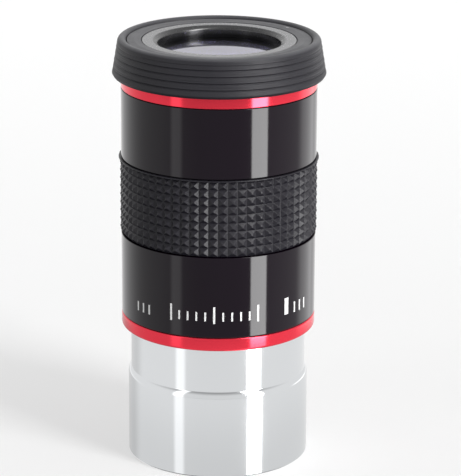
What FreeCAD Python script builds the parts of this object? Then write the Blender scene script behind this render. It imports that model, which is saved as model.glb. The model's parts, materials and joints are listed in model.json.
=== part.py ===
import FreeCAD, Part
import math
import os
import Sketcher

# Telescope eyepiece with a 1.25 inch nose barrel, six lens elements in four groups
# and a rubber eyecup that is folded down over the eye end.
# Frame: millimetres, +Z along the optical axis towards the eye,
# origin at the centre of the barrel's mouth face.

doc = FreeCAD.newDocument("telescope_eyepiece")
sheet = doc.addObject("Spreadsheet::Sheet", "Sizes")
sub_parts = []


# --- Lengths bound to the spreadsheet ---------------------------------------------------


class Size:
    """A length with its number and the spreadsheet expression that gives it."""

    def __init__(self, number, text):
        self.number = number
        self.text = text

    def __add__(self, other):
        other = as_size(other)
        return Size(self.number + other.number, f"({self.text} + {other.text})")

    def __sub__(self, other):
        other = as_size(other)
        return Size(self.number - other.number, f"({self.text} - {other.text})")

    def __mul__(self, factor):
        return Size(self.number * factor, f"({self.text} * {factor})")


def as_size(value):
    """A plain number as a Size; a Size as it is."""
    if isinstance(value, Size):
        return value
    return Size(float(value), repr(float(value)))


def size(alias, number):
    """One driving dimension: a spreadsheet row with an alias."""
    row = len(sheet.getUsedCells()) // 2 + 1
    sheet.set(f"A{row}", alias)
    sheet.set(f"B{row}", str(number))
    sheet.setAlias(f"B{row}", alias)
    return Size(float(number), f"Sizes.{alias}")


ZERO = as_size(0)
SCREW_COUNT = 3

# Nose barrel: 1.25 inch (31.75 mm) outside, M28.5 x 0.6 filter thread in its mouth
barrel_radius = size("barrel_radius", 15.875)
edge_break = size("edge_break", 0.25)
barrel_land_top = size("barrel_land_top", 14.76)
undercut_bottom = size("undercut_bottom", 15.87)
undercut_radius = size("undercut_radius", 15.38)
barrel_shoulder = size("barrel_shoulder", 23.65)
filter_thread_radius = size("filter_thread_radius", 14.25)
filter_thread_depth = size("filter_thread_depth", 6.0)
barrel_bore = size("barrel_bore", 13.6)
barrel_stop = size("barrel_stop", 22.0)
spigot_radius = size("spigot_radius", 13.95)
spigot_bore = size("spigot_bore", 12.9)
spigot_length = size("spigot_length", 7.0)

# Body: outer sleeve between two trim rings, with a recess for the rubber grip
body_radius = size("body_radius", 17.04)
body_length = size("body_length", 40.33)
body_bore = size("body_bore", 14.6)
body_edge = size("body_edge", 0.12)
trim_height = size("trim_height", 2.5)
lower_ring_foot = size("lower_ring_foot", 16.4)
lower_ring_round = size("lower_ring_round", 0.7)
grip_bottom = size("grip_bottom", 40.62)
grip_height = size("grip_height", 13.55)
grip_relief = size("grip_relief", 0.15)
grip_outside = size("grip_outside", 17.2)
grip_lip = size("grip_lip", 17.46)
grip_lip_height = size("grip_lip_height", 0.35)
recess_radius = size("recess_radius", 16.25)
thread_relief = size("thread_relief", 1.0)
screw_height = size("screw_height", 50.5)
screw_radius = size("screw_radius", 0.95)
screw_socket = size("screw_socket", 0.5)

# Lens housing and eye end
housing_bottom = size("housing_bottom", 46.0)
housing_flange = size("housing_flange", 15.6)
flange_height = size("flange_height", 1.12)
neck_radius = size("neck_radius", 12.95)
neck_top = size("neck_top", 72.5)
cap_seat_bottom = size("cap_seat_bottom", 70.4)
cap_thread_radius = size("cap_thread_radius", 12.0)
eye_bore = size("eye_bore", 11.0)
eye_shoulder = size("eye_shoulder", 60.5)
shoulder_bore = size("shoulder_bore", 9.8)
doublet_shoulder = size("doublet_shoulder", 57.4)
doublet_bore = size("doublet_bore", 12.0)
cap_radius = size("cap_radius", 13.35)
cap_top = size("cap_top", 74.65)
bowl_mouth = size("bowl_mouth", 11.5)
bowl_shoulder = size("bowl_shoulder", 10.82)
bowl_cone_drop = size("bowl_cone_drop", 0.36)
bowl_round = size("bowl_round", 0.42)
bowl_foot = size("bowl_foot", 10.6)
bowl_bottom = size("bowl_bottom", 73.92)

# Lenses: seat planes and vertices along the axis
eye_lens_top_seat = size("eye_lens_top_seat", 72.65)
eye_lens_top = size("eye_lens_top", 72.85)
eye_lens_bottom_seat = size("eye_lens_bottom_seat", 69.6)
eye_lens_bottom = size("eye_lens_bottom", 68.2)
middle_lens_top_seat = size("middle_lens_top_seat", 64.6)
middle_lens_top = size("middle_lens_top", 67.0)
middle_lens_bottom = size("middle_lens_bottom", 59.7)
doublet_top = size("doublet_top", 59.0)
doublet_cement_edge = size("doublet_cement_edge", 54.0)
doublet_cement_vertex = size("doublet_cement_vertex", 51.2)
doublet_bottom_seat = size("doublet_bottom_seat", 49.6)
doublet_bottom = size("doublet_bottom", 50.0)
field_cell_bottom = size("field_cell_bottom", 9.0)
field_cell_bore = size("field_cell_bore", 11.5)
field_clear_radius = size("field_clear_radius", 10.0)
field_top_seat = size("field_top_seat", 19.8)
field_top = size("field_top", 18.2)
field_cement_edge = size("field_cement_edge", 15.8)
field_cement_vertex = size("field_cement_vertex", 17.2)
field_bottom_seat = size("field_bottom_seat", 13.2)
field_bottom = size("field_bottom", 14.2)
ring_thickness = size("ring_thickness", 1.8)
slot_width = size("slot_width", 1.2)
slot_depth = size("slot_depth", 0.8)
field_stop_radius = size("field_stop_radius", 7.2)
field_stop_height = size("field_stop_height", 1.3)

# Rubber eyecup, folded down
collar_radius = size("collar_radius", 15.95)
collar_top = size("collar_top", 74.8)
skirt_bottom = size("skirt_bottom", 68.6)
skirt_widest = size("skirt_widest", 18.46)
skirt_widest_height = size("skirt_widest_height", 69.1)
skirt_foot = size("skirt_foot", 17.35)
skirt_shoulder = size("skirt_shoulder", 17.6)
crest_radius = size("crest_radius", 16.8)
crest_height = size("crest_height", 75.2)
crest_round = size("crest_round", 0.8)
skirt_inside = size("skirt_inside", 16.0)
crest_depth = size("crest_depth", 1.6)

# Clearances between separate pieces
running_gap = size("running_gap", 0.05)
glass_gap = size("glass_gap", 0.1)

body_bottom = barrel_shoulder + trim_height
body_top = body_bottom + body_length
upper_ring_top = body_top + trim_height
flange_top = upper_ring_top + flange_height

doc.recompute()


# --- Drawing helpers --------------------------------------------------------------------


def make_body(label):
    """A body whose label names the sub-part's file."""
    body = doc.addObject("PartDesign::Body", "Body_" + label)
    body.Label = label
    sub_parts.append(body)
    return body


def origin_feature(body, role):
    """One of the body's own origin planes or axes."""
    for feature in body.Origin.OriginFeatures:
        if feature.Role == role:
            return feature
    raise RuntimeError(f"{body.Label} has no {role}")


def new_sketch(body, name, plane):
    sketch = body.newObject("Sketcher::SketchObject", f"{name}_{body.Label}")
    sketch.AttachmentSupport = [(origin_feature(body, plane), "")]
    sketch.MapMode = "FlatFace"
    return sketch


def bind(sketch, kind, first, first_point, second, second_point, length):
    """One dimension of a sketch, driven by the spreadsheet."""
    constraint = Sketcher.Constraint(
        kind, first, first_point, second, second_point, length.number
    )
    index = sketch.addConstraint(constraint)
    sketch.setExpression(f"Constraints[{index}]", length.text)


def arc_centre(start, end, bend):
    """Centre of the arc from start to end: on the axis for a lens surface, else at radius bend."""
    if bend == "lens":
        (r0, z0), (r1, z1) = start, end
        return 0.0, (r1**2 + z1**2 - r0**2 - z0**2) / (2 * (z1 - z0))
    radius = abs(bend.number)
    side = math.copysign(1, bend.number)
    across = (end[0] - start[0], end[1] - start[1])
    chord = math.hypot(*across)
    reach = math.sqrt(max(radius**2 - chord**2 / 4, 0)) / chord * side
    middle = ((start[0] + end[0]) / 2, (start[1] + end[1]) / 2)
    return middle[0] - across[1] * reach, middle[1] + across[0] * reach


def add_edge(sketch, start, end, bend):
    """Draws one edge and returns which of its points are its start and its end."""
    if bend is None:
        sketch.addGeometry(
            Part.LineSegment(FreeCAD.Vector(*start, 0), FreeCAD.Vector(*end, 0))
        )
        return 1, 2
    centre = arc_centre(start, end, bend)
    angles = [math.atan2(p[1] - centre[1], p[0] - centre[0]) for p in (start, end)]
    turn = (angles[1] - angles[0] + math.pi) % (2 * math.pi) - math.pi
    forward = turn > 0
    circle = Part.Circle(
        FreeCAD.Vector(*centre, 0), FreeCAD.Vector(0, 0, 1), math.dist(start, centre)
    )
    first, last = (angles[0], angles[1]) if forward else (angles[1], angles[0])
    sketch.addGeometry(Part.ArcOfCircle(circle, first, last))
    return (1, 2) if forward else (2, 1)


def draw_outline(sketch, corners):
    """A closed outline of (radius, height) corners. A third entry bends the edge that leaves a
    corner: "lens" centres its arc on the axis, a Size is the arc's radius, positive to the left."""
    edges = []
    for index, corner in enumerate(corners):
        following = corners[(index + 1) % len(corners)]
        bend = corner[2] if len(corner) > 2 else None
        start = (corner[0].number, corner[1].number)
        end = (following[0].number, following[1].number)
        edges.append((bend, *add_edge(sketch, start, end, bend)))
    for index, (bend, first, last) in enumerate(edges):
        following = (index + 1) % len(edges)
        joint = Sketcher.Constraint(
            "Coincident", index, last, following, edges[following][1]
        )
        sketch.addConstraint(joint)
        radius, height = corners[index][:2]
        if radius is ZERO:
            sketch.addConstraint(
                Sketcher.Constraint("PointOnObject", index, first, -2)
            )
        else:
            bind(sketch, "DistanceX", -1, 1, index, first, radius)
        if height is ZERO:
            sketch.addConstraint(
                Sketcher.Constraint("PointOnObject", index, first, -1)
            )
        else:
            bind(sketch, "DistanceY", -1, 1, index, first, height)
        if bend == "lens":
            sketch.addConstraint(Sketcher.Constraint("PointOnObject", index, 3, -2))
        elif bend is not None:
            number = sketch.addConstraint(
                Sketcher.Constraint("Radius", index, abs(bend.number))
            )
            sketch.setExpression(f"Constraints[{number}]", f"abs({bend.text})")


def turned(label, corners):
    """A sub-part turned about the optical axis."""
    body = make_body(label)
    sketch = new_sketch(body, "Outline", "XZ_Plane")
    draw_outline(sketch, corners)
    turn = body.newObject("PartDesign::Revolution", "Turn_" + label)
    turn.Profile = sketch
    turn.ReferenceAxis = (sketch, ["V_Axis"])
    turn.Angle = 360
    return body


def ring(label, inside, outside, bottom, top):
    """A plain turned ring."""
    return turned(
        label, [(inside, bottom), (outside, bottom), (outside, top), (inside, top)]
    )


def lens(label, edge, bottom, bottom_seat, bottom_clear, top, top_seat, top_clear):
    """A lens element: spherical inside each clear radius, flat on its seats outside it."""
    corners = [(ZERO, bottom, "lens"), (bottom_clear, bottom_seat)]
    if bottom_clear is not edge:
        corners.append((edge, bottom_seat))
    corners.append((edge, top_seat))
    if top_clear is edge:
        corners[-1] = (edge, top_seat, "lens")
    else:
        corners.append((top_clear, top_seat, "lens"))
    corners.append((ZERO, top))
    return turned(label, corners)


def cut_checked(body, feature, what):
    """Stops if a cut removed nothing."""
    before = feature.BaseFeature.Shape.Volume if feature.BaseFeature else 0
    doc.recompute()
    if not before > feature.Shape.Volume > 0:
        raise RuntimeError(f"{what} of {body.Label} cut nothing")


def spanner_slots(body, bottom, reach):
    """Two spanner slots across the ring's lower face, cut upwards along one diameter."""
    sketch = new_sketch(body, "Slots", "XY_Plane")
    sketch.AttachmentOffset = FreeCAD.Placement(
        FreeCAD.Vector(0, 0, bottom.number), FreeCAD.Rotation()
    )
    sketch.setExpression(".AttachmentOffset.Base.z", bottom.text)
    half = (reach.number, slot_width.number / 2)
    loop = [(-half[0], -half[1]), (half[0], -half[1]), half, (-half[0], half[1])]
    for index, start in enumerate(loop):
        end = loop[(index + 1) % 4]
        sketch.addGeometry(
            Part.LineSegment(FreeCAD.Vector(*start, 0), FreeCAD.Vector(*end, 0))
        )
    for index in range(4):
        sketch.addConstraint(
            Sketcher.Constraint("Coincident", index, 2, (index + 1) % 4, 1)
        )
        kind = "Horizontal" if index % 2 == 0 else "Vertical"
        sketch.addConstraint(Sketcher.Constraint(kind, index))
    sketch.addConstraint(Sketcher.Constraint("Symmetric", 0, 1, 1, 2, -1, 1))
    bind(sketch, "DistanceX", 0, 1, 0, 2, reach * 2)
    bind(sketch, "DistanceY", 1, 1, 1, 2, slot_width)
    doc.recompute()
    slots = body.newObject("PartDesign::Pocket", "Slots_cut_" + body.Label)
    slots.Profile = sketch
    slots.Reversed = True
    slots.Length = slot_depth.number
    slots.setExpression("Length", slot_depth.text)
    cut_checked(body, slots, "slots")


# --- Nose barrel and field lens group ---------------------------------------------------


def build_barrel():
    """Chromed tube: focuser land, safety undercut, and a threaded spigot into the body."""
    turned(
        "chrome_barrel",
        [
            (filter_thread_radius, ZERO),
            (barrel_radius - edge_break, ZERO),
            (barrel_radius, edge_break),
            (barrel_radius, barrel_land_top),
            (undercut_radius, undercut_bottom),
            (undercut_radius, barrel_shoulder),
            (spigot_radius, barrel_shoulder),
            (spigot_radius, barrel_shoulder + spigot_length),
            (spigot_bore, barrel_shoulder + spigot_length),
            (spigot_bore, barrel_stop),
            (barrel_bore, barrel_stop),
            (barrel_bore, filter_thread_depth),
            (filter_thread_radius, filter_thread_depth),
        ],
    )


def build_field_group():
    """Negative cemented doublet in its own screwed-in cell, with a slotted retaining ring."""
    cell = turned(
        "field_lens_cell",
        [
            (field_cell_bore, field_cell_bottom),
            (barrel_bore - running_gap, field_cell_bottom),
            (barrel_bore - running_gap, barrel_stop),
            (field_clear_radius, barrel_stop),
            (field_clear_radius, field_top_seat),
            (field_cell_bore, field_top_seat),
        ],
    )
    spanner_slots(cell, field_cell_bottom, barrel_radius)
    edge = field_cell_bore - glass_gap
    lens(
        "field_flint",
        edge,
        field_cement_vertex,
        field_cement_edge,
        edge,
        field_top,
        field_top_seat,
        field_clear_radius,
    )
    lens(
        "field_crown",
        edge,
        field_bottom,
        field_bottom_seat,
        field_clear_radius,
        field_cement_vertex,
        field_cement_edge,
        edge,
    )
    ring_bottom = field_bottom_seat - ring_thickness
    retainer = ring(
        "field_retaining_ring",
        field_clear_radius,
        field_cell_bore - running_gap,
        ring_bottom,
        field_bottom_seat,
    )
    spanner_slots(retainer, ring_bottom, barrel_radius)


# --- Outer body -------------------------------------------------------------------------


def build_trim_rings():
    """Anodised rings clamped at both ends of the body sleeve."""
    turned(
        "lower_trim_ring",
        [
            (spigot_radius + running_gap, barrel_shoulder),
            (lower_ring_foot, barrel_shoulder, lower_ring_round),
            (body_radius, barrel_shoulder + lower_ring_round),
            (body_radius, body_bottom),
            (spigot_radius + running_gap, body_bottom),
        ],
    )
    ring("upper_trim_ring", body_bore, body_radius, body_top, upper_ring_top)


def build_body_tube():
    """Black sleeve with a grip recess, a thread for the barrel and three tapped holes."""
    thread_radius = spigot_radius + running_gap
    thread_top = barrel_shoulder + spigot_length + thread_relief
    body = turned(
        "body_tube",
        [
            (thread_radius, body_bottom),
            (body_radius - body_edge, body_bottom),
            (body_radius, body_bottom + body_edge),
            (body_radius, grip_bottom - grip_relief),
            (recess_radius, grip_bottom - grip_relief),
            (recess_radius, grip_bottom + grip_height + grip_relief),
            (body_radius, grip_bottom + grip_height + grip_relief),
            (body_radius, body_top - body_edge),
            (body_radius - body_edge, body_top),
            (body_bore, body_top),
            (body_bore, thread_top),
            (thread_radius, thread_top),
        ],
    )
    sketch = new_sketch(body, "Tapped_hole", "YZ_Plane")
    hole_radius = screw_radius + running_gap
    sketch.addGeometry(
        Part.Circle(
            FreeCAD.Vector(0, screw_height.number, 0),
            FreeCAD.Vector(0, 0, 1),
            hole_radius.number,
        )
    )
    sketch.addConstraint(Sketcher.Constraint("PointOnObject", 0, 3, -2))
    bind(sketch, "DistanceY", -1, 1, 0, 3, screw_height)
    number = sketch.addConstraint(Sketcher.Constraint("Radius", 0, hole_radius.number))
    sketch.setExpression(f"Constraints[{number}]", hole_radius.text)
    doc.recompute()
    hole = body.newObject("PartDesign::Pocket", "Tapped_hole_cut")
    hole.Profile = sketch
    hole.Reversed = True
    hole.Length = body_radius.number
    hole.setExpression("Length", body_radius.text)
    cut_checked(body, hole, "tapped hole")
    pattern = body.newObject("PartDesign::PolarPattern", "Tapped_holes")
    pattern.Originals = [hole]
    pattern.Axis = (origin_feature(body, "Z_Axis"), [""])
    pattern.Angle = 360
    pattern.Occurrences = SCREW_COUNT
    body.Tip = pattern


def build_grub_screws():
    """Three socket grub screws that lock the body sleeve to the lens housing."""
    screws = []
    inner_end = body_bore - running_gap * 0.5
    length = recess_radius - inner_end - running_gap * 2
    for index in range(SCREW_COUNT):
        shank = doc.addObject("Part::Cylinder", f"Screw_shank_{index}")
        shank.setExpression("Radius", screw_radius.text)
        shank.setExpression("Height", length.text)
        socket = doc.addObject("Part::Prism", f"Screw_socket_{index}")
        socket.Polygon = 6
        socket.setExpression("Circumradius", screw_socket.text)
        socket.setExpression("Height", length.text)
        socket.Placement.Base.z = length.number / 2
        socket.setExpression(".Placement.Base.z", (length * 0.5).text)
        screw = doc.addObject("Part::Cut", f"Screw_{index}")
        screw.Base = shank
        screw.Tool = socket
        around = FreeCAD.Rotation(FreeCAD.Vector(0, 0, 1), 360 / SCREW_COUNT * index)
        outward = around.multVec(FreeCAD.Vector(1, 0, 0))
        lying = FreeCAD.Rotation(FreeCAD.Vector(0, 0, 1), outward)
        place = outward * inner_end.number + FreeCAD.Vector(0, 0, screw_height.number)
        screw.Placement = FreeCAD.Placement(place, lying)
        screws.append(screw)
    group = doc.addObject("Part::Compound", "Grub_screws")
    group.Label = "grub_screws"
    group.Links = screws
    sub_parts.append(group)


def build_grip():
    """Rubber grip band with a raised lip along its upper edge."""
    inside = recess_radius + running_gap
    top = grip_bottom + grip_height
    turned(
        "grip_sleeve",
        [
            (inside, grip_bottom),
            (grip_outside, grip_bottom),
            (grip_outside, top - grip_lip_height),
            (grip_lip, top - grip_lip_height),
            (grip_lip, top),
            (inside, top),
        ],
    )


# --- Eye end and its lenses -------------------------------------------------------------


def build_housing():
    """Inner lens housing: body thread, clamping flange and the neck that holds the eyecup."""
    outside = body_bore - running_gap
    turned(
        "lens_housing",
        [
            (doublet_bore, housing_bottom),
            (outside, housing_bottom),
            (outside, upper_ring_top),
            (housing_flange, upper_ring_top),
            (housing_flange, flange_top),
            (neck_radius, flange_top),
            (neck_radius, neck_top),
            (cap_thread_radius, neck_top),
            (cap_thread_radius, cap_seat_bottom),
            (eye_bore, cap_seat_bottom),
            (eye_bore, eye_shoulder),
            (shoulder_bore, eye_shoulder),
            (shoulder_bore, doublet_shoulder),
            (doublet_bore, doublet_shoulder),
        ],
    )


def build_eye_cap():
    """Screwed cap with a bowl round the eye lens; it clamps the lens and traps the eyecup."""
    thread_outside = cap_thread_radius - running_gap
    turned(
        "eye_cap",
        [
            (eye_bore, cap_seat_bottom + edge_break),
            (thread_outside, cap_seat_bottom + edge_break),
            (thread_outside, neck_top),
            (cap_radius, neck_top),
            (cap_radius, cap_top - edge_break),
            (cap_radius - edge_break, cap_top),
            (bowl_mouth, cap_top),
            (bowl_shoulder, cap_top - bowl_cone_drop, bowl_round),
            (bowl_foot, bowl_bottom),
            (bowl_foot, eye_lens_top_seat),
            (eye_bore, eye_lens_top_seat),
        ],
    )


def build_eye_lenses():
    """Eye lens, spacer and middle lens above the shoulder; cemented doublet below it."""
    edge = eye_bore - glass_gap
    seat_inside = shoulder_bore - glass_gap
    lens(
        "eye_lens",
        edge,
        eye_lens_bottom,
        eye_lens_bottom_seat,
        seat_inside,
        eye_lens_top,
        eye_lens_top_seat,
        bowl_foot,
    )
    ring(
        "lens_spacer", shoulder_bore, edge, middle_lens_top_seat, eye_lens_bottom_seat
    )
    lens(
        "middle_lens",
        edge,
        middle_lens_bottom,
        eye_shoulder,
        seat_inside,
        middle_lens_top,
        middle_lens_top_seat,
        seat_inside,
    )
    edge = doublet_bore - glass_gap
    lens(
        "doublet_crown",
        edge,
        doublet_cement_vertex,
        doublet_cement_edge,
        edge,
        doublet_top,
        doublet_shoulder,
        seat_inside,
    )
    lens(
        "doublet_flint",
        edge,
        doublet_bottom,
        doublet_bottom_seat,
        seat_inside,
        doublet_cement_vertex,
        doublet_cement_edge,
        edge,
    )


def build_housing_rings():
    """Slotted ring that holds the doublet, and the field stop that edges the view."""
    outside = doublet_bore - running_gap
    ring_bottom = doublet_bottom_seat - ring_thickness
    retainer = ring(
        "doublet_retaining_ring",
        shoulder_bore,
        outside,
        ring_bottom,
        doublet_bottom_seat,
    )
    spanner_slots(retainer, ring_bottom, barrel_radius)
    stop_top = ring_bottom - edge_break
    ring("field_stop", field_stop_radius, outside, stop_top - field_stop_height, stop_top)


# --- Rubber eyecup ----------------------------------------------------------------------


def build_eyecup():
    """Collar whose bead sits in the neck groove, and the skirt that folds over it."""
    bead_inside = neck_radius + running_gap
    bead_top = neck_top - glass_gap
    sleeve_inside = cap_radius + glass_gap
    bottom = flange_top + glass_gap
    turned(
        "eyecup_collar",
        [
            (bead_inside, bottom),
            (collar_radius, bottom),
            (collar_radius, collar_top),
            (sleeve_inside, collar_top),
            (sleeve_inside, bead_top),
            (bead_inside, bead_top),
        ],
    )
    turned(
        "eyecup_skirt",
        [
            (skirt_foot, skirt_bottom),
            (skirt_widest - edge_break, skirt_bottom),
            (skirt_widest, skirt_widest_height),
            (skirt_shoulder, crest_height - crest_round, crest_round),
            (crest_radius, crest_height, crest_round),
            (skirt_inside, crest_height - crest_round),
            (skirt_inside, crest_height - crest_depth),
            (crest_radius, crest_height - crest_depth),
        ],
    )


# --- Build, check and write -------------------------------------------------------------


def check_document():
    """Stops if any object failed or any sub-part's shape is missing or invalid."""
    for thing in doc.Objects:
        if "Invalid" in thing.State or "Error" in thing.State:
            raise RuntimeError(f"{thing.Name} failed: {thing.State}")
    for sub_part in sub_parts:
        shape = sub_part.Shape
        if shape.isNull() or not shape.isValid() or not shape.Solids:
            raise RuntimeError(f"{sub_part.Label} has no valid solid")


build_barrel()
build_field_group()
build_trim_rings()
build_body_tube()
build_grub_screws()
build_grip()
build_housing()
build_eye_cap()
build_eye_lenses()
build_housing_rings()
build_eyecup()
doc.recompute()
check_document()

os.makedirs("parts", exist_ok=True)
for sub_part in sub_parts:
    sub_part.Shape.exportStep(f"parts/{sub_part.Label}.step")
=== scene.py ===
import json
import math

import bpy
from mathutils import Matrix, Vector


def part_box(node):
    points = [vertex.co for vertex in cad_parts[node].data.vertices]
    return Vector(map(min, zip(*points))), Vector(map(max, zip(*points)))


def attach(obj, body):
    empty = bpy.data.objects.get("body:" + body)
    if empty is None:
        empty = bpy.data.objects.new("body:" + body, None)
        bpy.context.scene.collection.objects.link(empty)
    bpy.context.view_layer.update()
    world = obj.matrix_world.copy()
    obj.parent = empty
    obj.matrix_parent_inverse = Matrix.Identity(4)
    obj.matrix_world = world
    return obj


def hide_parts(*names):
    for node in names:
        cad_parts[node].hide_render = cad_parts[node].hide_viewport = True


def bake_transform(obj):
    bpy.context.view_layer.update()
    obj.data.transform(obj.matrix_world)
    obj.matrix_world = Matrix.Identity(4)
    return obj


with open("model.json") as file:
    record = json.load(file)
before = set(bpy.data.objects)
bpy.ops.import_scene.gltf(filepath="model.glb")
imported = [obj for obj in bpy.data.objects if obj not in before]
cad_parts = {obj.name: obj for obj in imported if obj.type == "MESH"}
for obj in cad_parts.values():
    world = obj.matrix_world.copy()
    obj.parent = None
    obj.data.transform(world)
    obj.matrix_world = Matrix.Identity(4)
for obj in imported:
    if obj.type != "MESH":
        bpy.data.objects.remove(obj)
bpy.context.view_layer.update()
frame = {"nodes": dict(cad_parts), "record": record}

# Lengths in this script are millimetres, as in the drawing of a turned part; MM makes metres.
MM = 0.001


def extent(node):
    """(outer radius, bottom, top) of a round CAD node, in millimetres."""
    low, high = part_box(node)
    return high.x / MM, low.z / MM, high.z / MM


# --- Turned shapes ----------------------------------------------------------------------


def unit(dx, dy):
    length = math.hypot(dx, dy)
    return dx / length, dy / length


def rounded(corners, default=0.1, steps=4):
    """A closed outline of (r, z[, fillet]) corners as (r, z, normal r, normal z) points.
    The outline runs with the solid on its left. A fillet of None marks a point of a curve."""
    points = []
    count = len(corners)
    for index in range(count):
        here = corners[index]
        fillet = here[2] if len(here) > 2 else default
        before = corners[index - 1]
        after = corners[(index + 1) % count]
        into = unit(here[0] - before[0], here[1] - before[1])
        out = unit(after[0] - here[0], after[1] - here[1])
        turn = math.atan2(into[0] * out[1] - into[1] * out[0], into[0] * out[0] + into[1] * out[1])
        if fillet is None or abs(turn) < 0.02 or here[0] < 1e-6:
            along = unit(into[0] + out[0], into[1] + out[1])
            if here[0] < 1e-6:
                along = (1.0, 0.0) if into[0] + out[0] > 0 and after[0] > 0 else (-1.0, 0.0)
            points.append((here[0], here[1], along[1], -along[0]))
            continue
        reach = fillet * math.tan(abs(turn) / 2)
        side = math.copysign(1, turn)
        centre_r = here[0] - into[0] * reach - into[1] * fillet * side
        centre_z = here[1] - into[1] * reach + into[0] * fillet * side
        start = math.atan2(-into[0], into[1])
        for step in range(steps + 1):
            angle = start + turn * step / steps
            normal = (math.cos(angle), math.sin(angle))
            points.append(
                (
                    centre_r + normal[0] * fillet * side,
                    centre_z + normal[1] * fillet * side,
                    *normal,
                )
            )
    return points


def arc(centre_r, centre_z, radius, start, end, steps):
    """Curve points of an arc, angles in degrees, for use as corners."""
    points = []
    for step in range(steps + 1):
        angle = math.radians(start + (end - start) * step / steps)
        points.append(
            (centre_r + radius * math.cos(angle), centre_z + radius * math.sin(angle), None)
        )
    return points


def lathe(name, outline, segments=192, relief=None):
    """Turns an outline of (r, z, normal r, normal z) about the axis, with exact normals.
    relief(angle, r, z) adds millimetres to the radius where it is not None, and there the
    normals come from the mesh."""
    vertices = []
    normals = []
    rings = []
    for r, z, normal_r, normal_z in outline:
        ring = []
        for segment in range(1 if r < 1e-6 else segments):
            angle = 2 * math.pi * segment / segments
            extra = relief(angle, r, z) if relief else None
            radius = r + (extra or 0)
            cos, sin = math.cos(angle), math.sin(angle)
            ring.append(len(vertices))
            vertices.append((radius * cos, radius * sin, z))
            exact = (normal_r * cos, normal_r * sin, normal_z)
            normals.append(exact if extra is None else None)
        rings.append(ring)
    faces = []
    for index, ring in enumerate(rings):
        upper = rings[(index + 1) % len(rings)]
        if len(ring) == 1 and len(upper) == 1:
            continue
        for segment in range(segments):
            following = (segment + 1) % segments
            face = [
                ring[segment % len(ring)],
                ring[following % len(ring)],
                upper[following % len(upper)],
                upper[segment % len(upper)],
            ]
            faces.append(list(dict.fromkeys(face)))
    piece = mesh_piece(name, vertices, faces)
    mesh = piece.data
    mesh.polygons.foreach_set("use_smooth", [True] * len(mesh.polygons))
    if any(normals):
        mesh_normals = [vertex.normal for vertex in mesh.vertices]
        mesh.normals_split_custom_set_from_vertices(
            [exact or plain for exact, plain in zip(normals, mesh_normals)]
        )
    return piece


def mesh_piece(name, vertices, faces):
    """An object made from vertices in millimetres."""
    mesh = bpy.data.meshes.new(name)
    mesh.from_pydata([tuple(c * MM for c in vertex) for vertex in vertices], [], faces)
    piece = bpy.data.objects.new(name, mesh)
    bpy.context.scene.collection.objects.link(piece)
    return piece


def dress(piece, body, slot, *nodes):
    """Gives a piece its material and its body, and hides the CAD nodes it stands for."""
    piece.data.materials.append(MATERIALS[slot])
    if body:
        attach(piece, body)
    if nodes:
        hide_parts(*nodes)
    return piece


# --- Materials --------------------------------------------------------------------------


CAP_TOP = extent("eye_cap")[2]
# Heights over which the painted shade of the bowl wall fades out upward.
BOWL_SHADE_HEIGHTS = (CAP_TOP - 1.55, CAP_TOP - 0.35)
# Heights where the rubber's painted pale top sheen begins.
TOP_SHEEN_HEIGHTS = (CAP_TOP - 0.25, CAP_TOP + 0.05)


class NodeGraph:
    """A node tree with short ways to add the nodes used here."""

    def __init__(self, tree):
        self.tree = tree

    def node(self, kind, **settings):
        node = self.tree.nodes.new(kind)
        for key, value in settings.items():
            setattr(node, key, value)
        return node

    def link(self, output, socket):
        self.tree.links.new(output, socket)

    def coordinates(self, vector):
        """The x, y and z of a vector, as three outputs."""
        split = self.node("ShaderNodeSeparateXYZ")
        self.link(vector, split.inputs["Vector"])
        return split.outputs["X"], split.outputs["Y"], split.outputs["Z"]

    def math(self, operation, first, second=None):
        made = self.node("ShaderNodeMath", operation=operation)
        for socket, value in zip(made.inputs, (first, second)):
            if isinstance(value, (int, float)):
                socket.default_value = value
            elif value is not None:
                self.link(value, socket)
        return made.outputs["Value"]

    def spread(self, value, low, high, to_low, to_high, interpolation="LINEAR"):
        """Maps a range of one value to a range of another."""
        made = self.node("ShaderNodeMapRange", interpolation_type=interpolation)
        self.link(value, made.inputs["Value"])
        for key, number in (
            ("From Min", low),
            ("From Max", high),
            ("To Min", to_low),
            ("To Max", to_high),
        ):
            made.inputs[key].default_value = number
        return made.outputs["Result"]

    def blend_colour(self, factor, first, second, blend_type="MIX"):
        mix = self.node("ShaderNodeMix", data_type="RGBA", blend_type=blend_type)
        for socket, value in (("Factor", factor), ("A", first), ("B", second)):
            if isinstance(value, tuple):
                mix.inputs[socket].default_value = (*value, 1)
            elif isinstance(value, float):
                mix.inputs[socket].default_value = value
            else:
                self.link(value, mix.inputs[socket])
        return mix.outputs["Result"]


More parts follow.
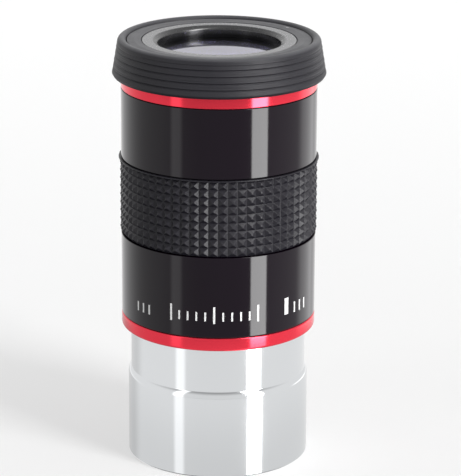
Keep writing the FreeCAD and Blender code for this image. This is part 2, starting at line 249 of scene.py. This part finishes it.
class Shader(NodeGraph):
    """A material and its Principled surface."""

    def __init__(self, name, colour, roughness, metallic=0.0, specular=0.5):
        self.material = bpy.data.materials.new(name)
        self.material.use_nodes = True
        super().__init__(self.material.node_tree)
        self.surface = self.tree.nodes["Principled BSDF"]
        self.set("Base Color", (*colour, 1))
        self.set("Roughness", roughness)
        self.set("Metallic", metallic)
        self.set("Specular IOR Level", specular)
        self.place = self.node("ShaderNodeTexCoord").outputs["Object"]

    def set(self, socket, value):
        self.surface.inputs[socket].default_value = value

    def drive(self, socket, output):
        self.link(output, self.surface.inputs[socket])

    def scaled(self, x, y, z):
        """Object coordinates stretched along each axis."""
        mapping = self.node("ShaderNodeMapping")
        mapping.inputs["Scale"].default_value = (x, y, z)
        self.link(self.place, mapping.inputs["Vector"])
        return mapping.outputs["Vector"]

    def noise(self, scale, detail, place=None):
        noise = self.node("ShaderNodeTexNoise")
        noise.inputs["Scale"].default_value = scale
        noise.inputs["Detail"].default_value = detail
        self.link(place or self.place, noise.inputs["Vector"])
        return noise.outputs["Fac"]

    def above(self, low, high):
        """A factor that grows from 0 to 1 between two heights in millimetres."""
        height = self.coordinates(self.place)[2]
        return self.spread(height, low * MM, high * MM, 0.0, 1.0)

    def facing_up(self, start, end):
        """A factor that grows from 0 to 1 as a surface turns upward."""
        normal = self.node("ShaderNodeNewGeometry").outputs["Normal"]
        return self.spread(self.coordinates(normal)[2], start, end, 0.0, 1.0)

    def bump(self, height, distance, under=None):
        """Fine relief with a depth in millimetres, on top of another relief if there is one."""
        bump = self.node("ShaderNodeBump")
        bump.inputs["Distance"].default_value = distance * MM
        bump.inputs["Strength"].default_value = 1.0
        self.link(height, bump.inputs["Height"])
        if under is not None:
            self.link(under, bump.inputs["Normal"])
        return bump.outputs["Normal"]

    def dust(self, scale, share):
        """A factor that is 1 in tiny specks, in a share of the cells of a fine pattern."""
        speck_radius, speck_edge, share_edge = 0.10, 0.14, 0.001
        cells = self.node("ShaderNodeTexVoronoi", feature="F1")
        cells.inputs["Scale"].default_value = scale
        self.link(self.place, cells.inputs["Vector"])
        speck = self.spread(cells.outputs["Distance"], speck_radius, speck_edge, 1.0, 0.0)
        pick = self.node("ShaderNodeSeparateColor")
        self.link(cells.outputs["Color"], pick.inputs["Color"])
        chosen = self.spread(pick.outputs["Red"], 1 - share - share_edge, 1 - share, 0.0, 1.0)
        return self.math("MULTIPLY", speck, chosen)


def chrome():
    """Polished chrome with faint smears and the turning marks of a lathe."""
    shader = Shader("chrome", (0.735, 0.75, 0.765), 0.06, metallic=1.0)
    shader.drive("Roughness", shader.spread(shader.noise(90, 4), 0.3, 0.75, 0.035, 0.11))
    turning = shader.noise(1, 2, place=shader.scaled(60, 60, 9000))
    shader.drive("Normal", shader.bump(turning, 0.0006))
    return shader.material


def gloss_black():
    """Gloss black paint with a few dust specks."""
    base, speck = (0.0027, 0.0004, 0.0031), (0.16, 0.16, 0.16)
    shader = Shader("gloss_black_metal", base, 0.06, specular=0.30)
    shader.drive("Roughness", shader.spread(shader.noise(140, 3), 0.3, 0.8, 0.05, 0.10))
    shader.drive("Base Color", shader.blend_colour(shader.dust(260, 0.012), base, speck))
    shader.drive("Normal", shader.bump(shader.noise(1500, 2), 0.0008))
    return shader.material


def satin_black():
    """Satin black paint with painted shade down the bowl wall, where it turns blacker and less
    specular, and a painted pale sheen on its upward face.
    """
    bowl, face, face_sheen = (0.003, 0.003, 0.0035), (0.012, 0.012, 0.013), (0.12, 0.12, 0.125)
    shader = Shader("satin_black_metal", face, 0.26)
    shader.set("IOR", 1.8)
    grain = shader.noise(2600, 3)
    shader.drive("Roughness", shader.spread(grain, 0.3, 0.7, 0.23, 0.28))
    shader.drive("Normal", shader.bump(grain, 0.0005))
    # Painted shade: toward the foot of the bowl the colour darkens and the specular falls.
    above_bowl_shade = shader.above(*BOWL_SHADE_HEIGHTS)
    shader.drive("Specular IOR Level", shader.spread(above_bowl_shade, 0.0, 1.0, 0.06, 0.5))
    # Painted highlight: the upward face takes a pale colour.
    tone = shader.blend_colour(shader.facing_up(0.9, 1.0), face, face_sheen)
    shader.drive("Base Color", shader.blend_colour(above_bowl_shade, bowl, tone))
    return shader.material


def matt_black():
    """Matt black anodising of the inside pieces."""
    shader = Shader("matt_black_metal", (0.008, 0.008, 0.008), 0.55, specular=0.35)
    grain = shader.noise(2200, 3)
    shader.drive("Roughness", shader.spread(grain, 0.3, 0.7, 0.45, 0.65))
    shader.drive("Normal", shader.bump(grain, 0.006))
    return shader.material


def red_anodised():
    """Bright red anodised metal with turning marks."""
    base, cloudy = (0.70, 0.030, 0.053), (0.75, 0.035, 0.062)
    shader = Shader("red_anodised", base, 0.12, metallic=0.8)
    cloud = shader.noise(220, 3)
    shader.drive("Base Color", shader.blend_colour(cloud, base, cloudy))
    shader.drive("Roughness", shader.spread(cloud, 0.3, 0.8, 0.09, 0.15))
    turning = shader.noise(1, 2, place=shader.scaled(80, 80, 12000))
    shader.drive("Normal", shader.bump(turning, 0.001))
    return shader.material


def rubber(name, base, roughness, specular, top_sheen=None):
    """Moulded rubber with painted shade on faces that look down, which are darker and less specular.
    The optional last colour is a painted pale sheen on its upward faces at the eye end."""
    cloudy = tuple(1.25 * channel for channel in base)
    underside_shade = tuple(0.15 * channel for channel in base)
    speck = (0.5, 0.5, 0.5)
    uneven = 0.08
    shader = Shader(name, base, roughness, specular=specular)
    cloud = shader.noise(160, 4)
    lit = shader.facing_up(-0.6, 0.0)
    tone = shader.blend_colour(cloud, base, cloudy)
    # Painted shade: faces turning downward get a darker colour and less specular.
    tone = shader.blend_colour(lit, underside_shade, tone)
    shader.drive("Specular IOR Level", shader.spread(lit, 0.0, 1.0, 0.1 * specular, specular))
    if top_sheen:
        # Painted sheen: upward faces near the top turn paler, with some real sheen as well.
        top_sheen_share = shader.math("MULTIPLY", shader.facing_up(0.4, 0.95), shader.above(*TOP_SHEEN_HEIGHTS))
        tone = shader.blend_colour(top_sheen_share, tone, top_sheen)
        shader.set("Sheen Roughness", 0.45)
        shader.drive("Sheen Weight", shader.spread(top_sheen_share, 0.0, 1.0, 0.015, 0.08))
    specks = shader.blend_colour(shader.dust(420, 0.008), base, speck)
    shader.drive("Base Color", shader.blend_colour(1.0, tone, specks, "LIGHTEN"))
    rough = shader.spread(cloud, 0.3, 0.7, roughness - uneven, roughness + uneven)
    shader.drive("Roughness", rough)
    return shader


def grip_rubber():
    shader = rubber("grip_rubber", (0.0105, 0.0098, 0.013), 0.34, 0.22)
    shader.drive("Normal", shader.bump(shader.noise(2400, 3), 0.012))
    return shader.material


def eyecup_rubber():
    # The second colour is the painted pale sheen of the upward faces.
    base, top_sheen = (0.0105, 0.010, 0.013), (0.064, 0.064, 0.070)
    shader = rubber("eyecup_rubber", base, 0.48, 0.26, top_sheen)
    lines = shader.noise(1, 2, place=shader.scaled(120, 120, 4200))
    pores = shader.bump(shader.noise(2600, 3), 0.014)
    shader.drive("Normal", shader.bump(lines, 0.07, under=pores))
    return shader.material


def coated_glass():
    """Optical glass under a faintly violet coating, with a few smudges."""
    shader = Shader("coated_glass", (0.62, 0.60, 0.84), 0.0)
    shader.set("Transmission Weight", 1.0)
    shader.set("IOR", 1.62)
    shader.set("Coat Weight", 0.95)
    shader.set("Coat IOR", 1.6)
    shader.set("Coat Tint", (0.90, 0.88, 1.0, 1.0))
    shader.drive("Roughness", shader.spread(shader.noise(120, 3), 0.45, 0.8, 0.0, 0.02))
    return shader.material


def black_steel():
    shader = Shader("black_steel", (0.05, 0.05, 0.052), 0.35, metallic=1.0)
    shader.drive("Normal", shader.bump(shader.noise(3000, 3), 0.004))
    return shader.material


def white_print():
    worn, fresh = (0.42, 0.42, 0.42), (0.7, 0.7, 0.7)
    shader = Shader("white_print", fresh, 0.5)
    shader.drive("Base Color", shader.blend_colour(shader.noise(1800, 3), worn, fresh))
    return shader.material


MATERIALS = {
    "chrome": chrome(),
    "gloss_black_metal": gloss_black(),
    "satin_black_metal": satin_black(),
    "matt_black_metal": matt_black(),
    "red_anodised": red_anodised(),
    "grip_rubber": grip_rubber(),
    "eyecup_rubber": eyecup_rubber(),
    "coated_glass": coated_glass(),
    "black_steel": black_steel(),
}


# --- Nose barrel ------------------------------------------------------------------------

UNDERCUT_BOTTOM = 15.7
UNDERCUT_RADIUS = 15.38
LEAD_ANGLE = 41
SHOULDER = extent("lower_trim_ring")[1]
THREAD_RADIUS = 14.25
THREAD_PITCH = 0.6
THREAD_DEPTH = 6.0
THREAD_HEIGHT = 0.2
THREAD_RUN = (0.35, 5.6)


def filter_thread(angle, r, z):
    """Radial relief of the filter thread inside the barrel's mouth."""
    if abs(r - THREAD_RADIUS) > 1e-3 or not THREAD_RUN[0] < z < THREAD_RUN[1]:
        return None
    phase = (z / THREAD_PITCH - angle / (2 * math.pi)) % 1
    fade = min(1, (z - THREAD_RUN[0]) / THREAD_PITCH, (THREAD_RUN[1] - z) / THREAD_PITCH)
    return -THREAD_HEIGHT * fade * (1 - abs(2 * phase - 1))


def build_barrel():
    radius, bottom, top = extent("chrome_barrel")
    cell_radius, _, stop = extent("field_lens_cell")
    bore = cell_radius + 0.05
    spigot = 13.95
    spigot_bore = 12.9
    mouth_break = 0.22
    lead_round = (radius - UNDERCUT_RADIUS) / (1 - math.cos(math.radians(LEAD_ANGLE)))
    land_top = UNDERCUT_BOTTOM - lead_round * math.sin(math.radians(LEAD_ANGLE))
    steps = 100
    thread_end = 0.1
    thread = [
        (
            THREAD_RADIUS,
            THREAD_DEPTH - thread_end - (THREAD_DEPTH - 2 * thread_end) * step / steps,
            None,
        )
        for step in range(steps + 1)
    ]
    corners = [
        (THREAD_RADIUS, bottom, 0.06),
        (radius - mouth_break, bottom, 0.06),
        (radius, bottom + mouth_break, 0.08),
        *arc(radius - lead_round, land_top, lead_round, 0, LEAD_ANGLE, 12),
        (UNDERCUT_RADIUS, UNDERCUT_BOTTOM + 0.02, 0.2),
        (UNDERCUT_RADIUS, SHOULDER, 0.03),
        (spigot, SHOULDER, 0.03),
        (spigot, top, 0.1),
        (spigot_bore, top, 0.1),
        (spigot_bore, stop, 0.05),
        (bore, stop, 0.05),
        (bore, THREAD_DEPTH, 0.1),
        (THREAD_RADIUS, THREAD_DEPTH, 0.03),
        *thread,
    ]
    piece = lathe("barrel", rounded(corners), 256, relief=filter_thread)
    dress(piece, "eyepiece", "chrome", "chrome_barrel")


# --- Body and trim rings ----------------------------------------------------------------

BODY_RADIUS, BODY_BOTTOM, BODY_TOP = extent("body_tube")
GRIP_RADIUS, GRIP_BOTTOM, GRIP_TOP = extent("grip_sleeve")
RECESS_RADIUS = 16.25
BODY_BORE = 14.6
SPIGOT_THREAD = 14.0
SEAM = 0.1


def build_body():
    """The body sleeve with the grip's recess, bored for the housing and the barrel's spigot."""
    spigot_top = extent("chrome_barrel")[2] + 1.0
    gap = 0.15
    corners = [
        (SPIGOT_THREAD, BODY_BOTTOM, 0.05),
        (BODY_RADIUS, BODY_BOTTOM, 0.13),
        (BODY_RADIUS, GRIP_BOTTOM - gap, 0.08),
        (RECESS_RADIUS, GRIP_BOTTOM - gap, 0.05),
        (RECESS_RADIUS, GRIP_TOP + gap, 0.05),
        (BODY_RADIUS, GRIP_TOP + gap, 0.08),
        (BODY_RADIUS, BODY_TOP, 0.13),
        (BODY_BORE, BODY_TOP, 0.05),
        (BODY_BORE, spigot_top, 0.05),
        (SPIGOT_THREAD, spigot_top, 0.05),
    ]
    piece = lathe("body_sleeve", rounded(corners), 256)
    dress(piece, "eyepiece", "gloss_black_metal", "body_tube")


def build_trim_rings():
    """The red rings below and above the body, each a seam short of the body's end."""
    radius, bottom, top = extent("lower_trim_ring")
    corners = [
        (SPIGOT_THREAD, bottom, 0.05),
        (radius, bottom, 0.5),
        (radius, top - SEAM, 0.3),
        (SPIGOT_THREAD, top - SEAM, 0.05),
    ]
    ring = lathe("lower_red_ring", rounded(corners, steps=8), 256)
    dress(ring, "eyepiece", "red_anodised", "lower_trim_ring")
    radius, bottom, top = extent("upper_trim_ring")
    corners = [
        (BODY_BORE, bottom + SEAM, 0.05),
        (radius, bottom + SEAM, 0.12),
        (radius, top, 0.12),
        (BODY_BORE, top, 0.05),
    ]
    ring = lathe("upper_red_ring", rounded(corners), 256)
    dress(ring, "eyepiece", "red_anodised", "upper_trim_ring")


# --- Rubber grip ------------------------------------------------------------------------

PYRAMID_COLUMNS = 64
PYRAMID_ROWS = 9
PYRAMID_BASE_RADIUS = 16.74
PYRAMID_TIP_RADIUS = 17.2
PYRAMID_TIP = 0.13
PYRAMID_BEVEL = 0.045
GRIP_LIP_HEIGHT = 0.3
GRIP_HEM = 0.1


def build_grip():
    """A band whose outside is a straight grid of square pyramids below a raised lip."""
    inside = RECESS_RADIUS + 0.05
    low = GRIP_BOTTOM + GRIP_HEM
    high = GRIP_TOP - GRIP_LIP_HEIGHT
    pitch = (high - low) / PYRAMID_ROWS
    vertices = []
    faces = []

    def ring(radius, z):
        first = len(vertices)
        for column in range(PYRAMID_COLUMNS):
            angle = 2 * math.pi * column / PYRAMID_COLUMNS
            vertices.append((radius * math.cos(angle), radius * math.sin(angle), z))
        return first

    def band(lower, upper):
        for column in range(PYRAMID_COLUMNS):
            following = (column + 1) % PYRAMID_COLUMNS
            faces.append((lower + column, lower + following, upper + following, upper + column))

    def pyramids(lower, upper, z):
        """One row of pyramids between two base rings, with small flat tips."""
        for column in range(PYRAMID_COLUMNS):
            following = (column + 1) % PYRAMID_COLUMNS
            middle = 2 * math.pi * (column + 0.5) / PYRAMID_COLUMNS
            half_turn = PYRAMID_TIP / PYRAMID_TIP_RADIUS
            tip = len(vertices)
            for turn, rise in ((-1, -1), (1, -1), (1, 1), (-1, 1)):
                angle = middle + turn * half_turn
                vertices.append(
                    (
                        PYRAMID_TIP_RADIUS * math.cos(angle),
                        PYRAMID_TIP_RADIUS * math.sin(angle),
                        z + rise * PYRAMID_TIP,
                    )
                )
            base = (lower + column, lower + following, upper + following, upper + column)
            for corner in range(4):
                after = (corner + 1) % 4
                faces.append((base[corner], base[after], tip + after, tip + corner))
            faces.append((tip, tip + 1, tip + 2, tip + 3))

    inner_bottom = ring(inside, GRIP_BOTTOM)
    hem_bottom = ring(PYRAMID_BASE_RADIUS - 0.02, GRIP_BOTTOM)
    band(inner_bottom, hem_bottom)
    rows = [ring(PYRAMID_BASE_RADIUS, low + pitch * row) for row in range(PYRAMID_ROWS + 1)]
    band(hem_bottom, rows[0])
    for row in range(PYRAMID_ROWS):
        pyramids(rows[row], rows[row + 1], low + pitch * (row + 0.5))
    lip = [
        ring(GRIP_RADIUS - 0.12, high + 0.02),
        ring(GRIP_RADIUS, high + 0.12),
        ring(GRIP_RADIUS - 0.03, GRIP_TOP - 0.06),
        ring(GRIP_RADIUS - 0.12, GRIP_TOP),
        ring(inside, GRIP_TOP),
    ]
    for lower, upper in zip([rows[-1]] + lip, lip + [inner_bottom]):
        band(lower, upper)
    piece = mesh_piece("grip_band", vertices, faces)
    soften = piece.modifiers.new("soft_edges", "BEVEL")
    soften.width = PYRAMID_BEVEL * MM
    soften.segments = 2
    soften.limit_method = "ANGLE"
    soften.angle_limit = math.radians(12)
    dress(piece, "eyepiece", "grip_rubber", "grip_sleeve")


# --- Eyecup -----------------------------------------------------------------------------

NECK_TOP = extent("lens_housing")[2]
CREST_RADIUS = 16.8
CREST_ROUND = 0.8
HEM_DROP = 0.1
SKIRT_WIDEST, CAD_HEM, CREST_TOP = extent("eyecup_skirt")
SKIRT_BOTTOM = CAD_HEM - HEM_DROP
SKIRT_FOOT = SKIRT_BOTTOM + 0.55
SKIRT_SHOULDER = CREST_RADIUS + CREST_ROUND
FOLD_LINE = CREST_TOP - CREST_ROUND
RIB_GROOVES = ((1.45, 0.14), (2.55, 0.15), (3.65, 0.15), (4.75, 0.13), (5.55, 0.05))
RIB_GROOVE_WIDTH = 0.12
BEAD_HEIGHT, BEAD_PROUD, BEAD_WIDTH = 0.7, 0.07, 0.32
RIB_LIP_SHARE, RIB_LIP_OFFSET = 0.35, 2.2
FINE_RIBS = ((0.53, 0.014, 0.3), (0.31, 0.008, 1.9))


def skirt_side(z):
    """Outer radius of the folded skirt at a height: a flared cone with grooves and a hem bead."""
    rise = (z - SKIRT_FOOT) / (FOLD_LINE - SKIRT_FOOT)
    radius = SKIRT_WIDEST + (SKIRT_SHOULDER - SKIRT_WIDEST) * rise
    for height, depth in RIB_GROOVES:
        away = (z - SKIRT_BOTTOM - height) / RIB_GROOVE_WIDTH
        radius -= depth * math.exp(-(away**2))
        radius += RIB_LIP_SHARE * depth * math.exp(-((away - RIB_LIP_OFFSET) ** 2))
    radius += BEAD_PROUD * math.exp(-(((z - SKIRT_BOTTOM - BEAD_HEIGHT) / BEAD_WIDTH) ** 2))
    fade = min(1, 4 * rise, 4 * (1 - rise))
    for pitch, height, shift in FINE_RIBS:
        radius += fade * height * math.sin(2 * math.pi * z / pitch + shift)
    return radius


def build_skirt():
    """The skirt and the rolled crest over the collar, in rubber."""
    steps = 160
    inner_steps = 16
    wall = 0.85
    inner_foot = extent("upper_trim_ring")[0] + 0.32
    inner_shoulder = SKIRT_SHOULDER - wall
    inner_top = FOLD_LINE - 0.75
    corners = [(inner_foot, SKIRT_BOTTOM, 0.25), (SKIRT_WIDEST - 0.25, SKIRT_BOTTOM, 0.5)]
    for step in range(steps + 1):
        z = SKIRT_FOOT + (FOLD_LINE - SKIRT_FOOT) * step / steps
        corners.append((skirt_side(z), z, None))
    corners += arc(CREST_RADIUS, FOLD_LINE, CREST_ROUND, 4, 180, 18)
    corners += [
        (CREST_RADIUS - CREST_ROUND, inner_top + 0.1, 0.08),
        (inner_shoulder, inner_top, 0.1),
    ]
    for step in range(1, inner_steps):
        share = step / inner_steps
        corners.append(
            (
                inner_shoulder + (inner_foot - inner_shoulder) * share,
                inner_top + (SKIRT_BOTTOM - inner_top) * share,
                None,
            )
        )
    piece = lathe("eyecup_skirt_rubber", rounded(corners), 192, relief=lambda a, r, z: 0.0)
    dress(piece, None, "eyecup_rubber", "eyecup_skirt")
    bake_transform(piece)


def build_collar():
    """The rubber ring round the cap, with the bead that holds it in the neck's groove."""
    radius, bottom, top = extent("eyecup_collar")
    bead_inside = 13.0
    bead_top = NECK_TOP - 0.1
    sleeve_inside = 13.45
    corners = [
        (bead_inside, bottom, 0.2),
        (radius, bottom, 0.2),
        (radius, top - 0.05, 0.1),
        (radius - 0.5, top - 0.05, 0.4),
        (radius - 1.2, top + 0.02, 0.5),
        (sleeve_inside, top - 0.1, 0.1),
        (sleeve_inside, bead_top, 0.05),
        (bead_inside, bead_top, 0.15),
    ]
    piece = lathe("eyecup_collar_rubber", rounded(corners, steps=6), 192)
    dress(piece, "collar", "eyecup_rubber", "eyecup_collar")


# --- Eye end ----------------------------------------------------------------------------

BOWL_FOOT = 10.6
LENS_SEAT = extent("eye_lens")[2] - 0.2


def build_eye_cap():
    """The metal cap: a threaded tube, a flat face and a bowl that narrows down to the eye lens."""
    radius, bottom, top = extent("eye_cap")
    thread_radius = 11.95
    bore = 11.0
    bowl_mouth = 11.5
    bowl_round = 0.42
    bowl_bottom = top - 0.73
    corners = [
        (bore, bottom, 0.1),
        (thread_radius, bottom, 0.1),
        (thread_radius, NECK_TOP, 0.03),
        (radius, NECK_TOP, 0.1),
        (radius, top, 0.08),
        (bowl_mouth, top, 0.6),
        *arc(BOWL_FOOT + bowl_round, bowl_bottom, bowl_round, 118, 180, 12),
        (BOWL_FOOT, LENS_SEAT, 0.04),
        (bore, LENS_SEAT, 0.04),
    ]
    piece = lathe("eye_cap_metal", rounded(corners), 256)
    dress(piece, "eyepiece", "satin_black_metal", "eye_cap")


def lens_surface(clear, seat, vertex, steps):
    """Curve points from the axis out to the clear radius of a spherical surface."""
    sag = vertex - seat
    radius = (clear**2 + sag**2) / (2 * abs(sag))
    centre = vertex - math.copysign(radius, sag)
    points = []
    for step in range(steps + 1):
        r = clear * step / steps
        rise = math.copysign(math.sqrt(radius**2 - r**2), sag)
        points.append((r, centre + rise, None))
    return points


def build_eye_lens():
    radius, bottom, top = extent("eye_lens")
    back_seat = extent("lens_spacer")[2]
    clear_back = 9.7
    back = lens_surface(clear_back, back_seat, bottom, 16)
    front = lens_surface(BOWL_FOOT, LENS_SEAT, top, 16)
    corners = [
        *back,
        (radius, back_seat, 0.1),
        (radius, LENS_SEAT, 0.05),
        *reversed(front),
    ]
    piece = lathe("eye_lens_glass", rounded(corners), 192)
    dress(piece, "eyepiece", "coated_glass", "eye_lens")


# --- Printed index marks ----------------------------------------------------------------


PRINT_PROUD = 0.012
PRINT_ROOT = 0.03
MARK_LEVEL = BODY_BOTTOM + 3.5
SCALE_MIDDLE = -2
SCALE_PITCH = 5.2
SCALE_REACH = 5


def index_marks():
    """(angle, height, width, length) of every mark: a short row, a scale, and a bar with a row.
    Angles are in degrees from the middle of the front."""
    marks = [(angle, MARK_LEVEL, 0.36, 1.7) for angle in (-54, -49, -44)]
    for tick in range(-SCALE_REACH, SCALE_REACH + 1):
        angle = SCALE_MIDDLE + SCALE_PITCH * tick
        if tick % SCALE_REACH:
            marks.append((angle, MARK_LEVEL + 0.3, 0.3, 1.6))
        else:
            marks.append((angle, MARK_LEVEL + 0.6, 0.36, 3.0))
    marks += [(44, MARK_LEVEL + 0.8, 0.9, 3.0)]
    marks += [(angle, MARK_LEVEL + 0.2, 0.36, 1.9) for angle in (51, 56, 61)]
    return marks


def build_marks():
    """Plain white index marks on the lower body, no lettering: thin closed curved plates whose
    outside stands just proud of the body."""
    outside = BODY_RADIUS + PRINT_PROUD
    inside = BODY_RADIUS - PRINT_ROOT
    section = ((outside, -0.5), (outside, 0.5), (inside, 0.5), (inside, -0.5))
    sides = len(section)
    parts = 4
    vertices = []
    faces = []
    for angle, z, width, length in index_marks():
        first = len(vertices)
        last = first + sides * parts
        for part in range(parts + 1):
            turn = math.radians(angle - 90) + width / BODY_RADIUS * (part / parts - 0.5)
            for radius, end in section:
                vertices.append((radius * math.cos(turn), radius * math.sin(turn), z + end * length))
        for start in range(first, last, sides):
            for side in range(sides):
                here = start + side
                after = start + (side + 1) % sides
                faces.append((here, here + sides, after + sides, after))
        faces.append(tuple(range(first, first + sides)))
        faces.append(tuple(reversed(range(last, last + sides))))
    piece = mesh_piece("index_marks", vertices, faces)
    piece.data.materials.append(white_print())
    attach(piece, "eyepiece")


# --- Inside pieces that keep their CAD shape --------------------------------------------


def finish_cad_nodes():
    """Gives every CAD node the material of its slot in the record."""
    slots = {entry["node"]: entry["material_slot"] for entry in frame["record"]["subparts"]}
    for name, node in frame["nodes"].items():
        node.data.materials.clear()
        node.data.materials.append(MATERIALS[slots[name]])


# --- Floor, light and camera ------------------------------------------------------------

# Each strip is an upright band of light: its middle, half width and soft edge in degrees.
RIGHT_STRIP = (49, 9, 2)
LEFT_STRIP = (-50.5, 3.5, 6)
FLOOR_HALF = 3000
FLOOR_FADE = 500
FLOOR_NEAR = (0.33, 0.33, 0.33)
FLOOR_FAR = (0.36, 0.36, 0.36)
# Emission near and far: painted light that fills the floor's shadow.
FLOOR_GLOW = (0.49, 0.60)
GLOW_RADIUS = 85
GLOW_CENTRE_Y = -4
GLOW_HEIGHT = 0.2


def flat_piece(name, vertices):
    """An object made of one flat face."""
    piece = mesh_piece(name, vertices, [tuple(range(len(vertices)))])
    return piece


def build_floor():
    """A pale floor whose painted glow lifts its shadow and brightens it toward the back; it doesn't
    light the object.
    """
    corners = ((-1, -1), (1, -1), (1, 1), (-1, 1))
    floor = flat_piece("floor", [(FLOOR_HALF * x, FLOOR_HALF * y, 0) for x, y in corners])
    shader = Shader("pale_floor", (0.8, 0.8, 0.8), 0.8, specular=0.1)
    depth = shader.coordinates(shader.place)[1]
    back = shader.spread(depth, 0.0, FLOOR_FADE * MM, 0.0, 1.0)
    cloudy = tuple(1.02 * channel for channel in FLOOR_NEAR)
    near = shader.blend_colour(shader.noise(30, 4), FLOOR_NEAR, cloudy)
    shader.drive("Base Color", shader.blend_colour(back, near, FLOOR_FAR))
    shader.set("Emission Color", (1, 1, 1, 1))
    shader.drive("Emission Strength", shader.spread(depth, 0.0, FLOOR_FADE * MM, *FLOOR_GLOW))
    floor.data.materials.append(shader.material)
    floor.visible_glossy = False
    floor.visible_diffuse = False
    floor.visible_transmission = False
    floor.visible_shadow = False


class Surround(NodeGraph):
    """Node helpers for light that depends on its direction round the object."""

    def __init__(self, tree, direction):
        super().__init__(tree)
        x, y, self.height = self.coordinates(direction)
        self.azimuth = self.math("ARCTAN2", x, self.math("MULTIPLY", y, -1.0))
        self.around = self.math("ABSOLUTE", self.azimuth)

    def ramp(self, value, start, end, from_level, to_level):
        return self.spread(value, start, end, from_level, to_level, "SMOOTHSTEP")

    def strip(self, centre, half_width, edge, strength):
        """An upright band of light, angles in degrees."""
        offset = self.math("SUBTRACT", self.azimuth, math.radians(centre))
        offset = self.math("ABSOLUTE", offset)
        inner = math.radians(half_width)
        return self.ramp(offset, inner, inner + math.radians(edge), strength, 0.0)

    def total(self, *values):
        result = values[0]
        for value in values[1:]:
            result = self.math("ADD", result, value)
        return result

    def product(self, *values):
        result = values[0]
        for value in values[1:]:
            result = self.math("MULTIPLY", result, value)
        return result


def build_world():
    """A white studio: dimmer in front, overhead and underneath, with two strips in front.
    Heights run from -1 below to 1 above, angles round the object from 0 in front to pi behind."""
    world = bpy.data.worlds.new("studio")
    bpy.context.scene.world = world
    world.use_nodes = True
    tree = world.node_tree
    background = tree.nodes["Background"]
    light = Surround(tree, tree.nodes.new("ShaderNodeTexCoord").outputs["Generated"])
    wall = light.ramp(light.around, 0.3, 1.35, 0.56, 0.93)
    behind = light.product(
        light.total(
            light.ramp(light.around, 1.7, 2.4, 0.0, 0.25),
            light.strip(128, 10, 14, 0.9),
        ),
        light.ramp(light.height, -0.22, -0.05, 1.0, 0.0),
    )
    front_sky = light.product(
        light.ramp(light.around, 0.3, 1.35, 0.28, 0.0),
        light.ramp(light.height, -0.22, -0.12, 0.0, 1.0),
    )
    room = light.product(
        light.total(wall, behind, front_sky),
        light.ramp(light.height, 0.35, 0.82, 1.0, 0.5),
        light.ramp(light.height, -0.75, -0.42, 0.15, 1.0),
    )
    strips = light.product(
        light.total(light.strip(*RIGHT_STRIP, 12.0), light.strip(*LEFT_STRIP, 1.0)),
        light.ramp(light.height, 0.84, 0.94, 1.0, 0.0),
        light.ramp(light.height, -0.55, -0.42, 0.0, 1.0),
    )
    background.inputs["Color"].default_value = (1, 1, 1, 1)
    light.link(light.total(room, strips), background.inputs["Strength"])


def build_table_glow():
    """A glowing disc that stands in for the bright table top next to the object, seen only as a
    painted reflection in its lowest part.
    """
    sides = 96
    outline = []
    for side in range(sides):
        angle = 2 * math.pi * side / sides
        x, y = GLOW_RADIUS * math.cos(angle), GLOW_RADIUS * math.sin(angle)
        outline.append((x, y + GLOW_CENTRE_Y, GLOW_HEIGHT))
    glow = flat_piece("table_glow", outline)
    material = bpy.data.materials.new("table_glow")
    material.use_nodes = True
    tree = material.node_tree
    tree.nodes.clear()
    incoming = tree.nodes.new("ShaderNodeNewGeometry").outputs["Incoming"]
    outgoing = tree.nodes.new("ShaderNodeVectorMath")
    outgoing.operation = "SCALE"
    outgoing.inputs["Scale"].default_value = -1.0
    tree.links.new(incoming, outgoing.inputs["Vector"])
    light = Surround(tree, outgoing.outputs["Vector"])
    reach = light.node("ShaderNodeVectorMath", operation="LENGTH")
    light.link(light.node("ShaderNodeTexCoord").outputs["Object"], reach.inputs[0])
    level = light.product(
        light.total(
            light.ramp(light.around, 0.3, 1.2, 0.885, 0.925),
            light.strip(*RIGHT_STRIP, 3.0),
            light.strip(*LEFT_STRIP, 0.42),
            # Painted shadow on the table behind on the left.
            light.strip(-160, 20, 25, -0.2),
        ),
        # Dimmer close to the object: painted contact shadow.
        light.ramp(reach.outputs["Value"], 16 * MM, 60 * MM, 0.88, 1.0),
    )
    shine = light.node("ShaderNodeEmission")
    light.link(level, shine.inputs["Strength"])
    surface = light.node("ShaderNodeOutputMaterial")
    light.link(shine.outputs["Emission"], surface.inputs["Surface"])
    glow.data.materials.append(material)
    glow.visible_camera = False
    glow.visible_diffuse = False
    glow.visible_transmission = False
    glow.visible_shadow = False


def build_lamp():
    """A soft lamp high on the right, which throws the shadow to the left."""
    data = bpy.data.lights.new("overhead", "AREA")
    data.shape = "DISK"
    data.size = 600 * MM
    data.energy = 0.8
    lamp = bpy.data.objects.new("overhead", data)
    lamp.location = (270 * MM, 0.0, 850 * MM)
    lamp.rotation_euler = (-lamp.location).to_track_quat("-Z", "Y").to_euler()
    lamp.visible_camera = False
    bpy.context.scene.collection.objects.link(lamp)


def build_camera():
    """A long lens in front of the object that looks down at it and is turned a touch."""
    elevation = math.radians(17.01)
    roll = math.radians(0.33)
    distance = 491.3
    aim = Vector((2.12, 0, 38.93))
    data = bpy.data.cameras.new("camera")
    data.lens = 211.3
    data.clip_start = 10 * MM
    camera = bpy.data.objects.new("camera", data)
    back = Vector((0, -math.cos(elevation), math.sin(elevation)))
    camera.location = (aim + back * distance) * MM
    camera.rotation_euler = (-back).to_track_quat("-Z", "Y").to_euler()
    camera.rotation_euler.rotate_axis("Z", roll)
    bpy.context.scene.collection.objects.link(camera)
    bpy.context.scene.camera = camera
    bpy.context.scene.view_settings.view_transform = "Standard"


finish_cad_nodes()
build_barrel()
build_body()
build_trim_rings()
build_grip()
build_skirt()
build_collar()
build_eye_cap()
build_eye_lens()
build_marks()
build_floor()
build_world()
build_table_glow()
build_lamp()
build_camera()
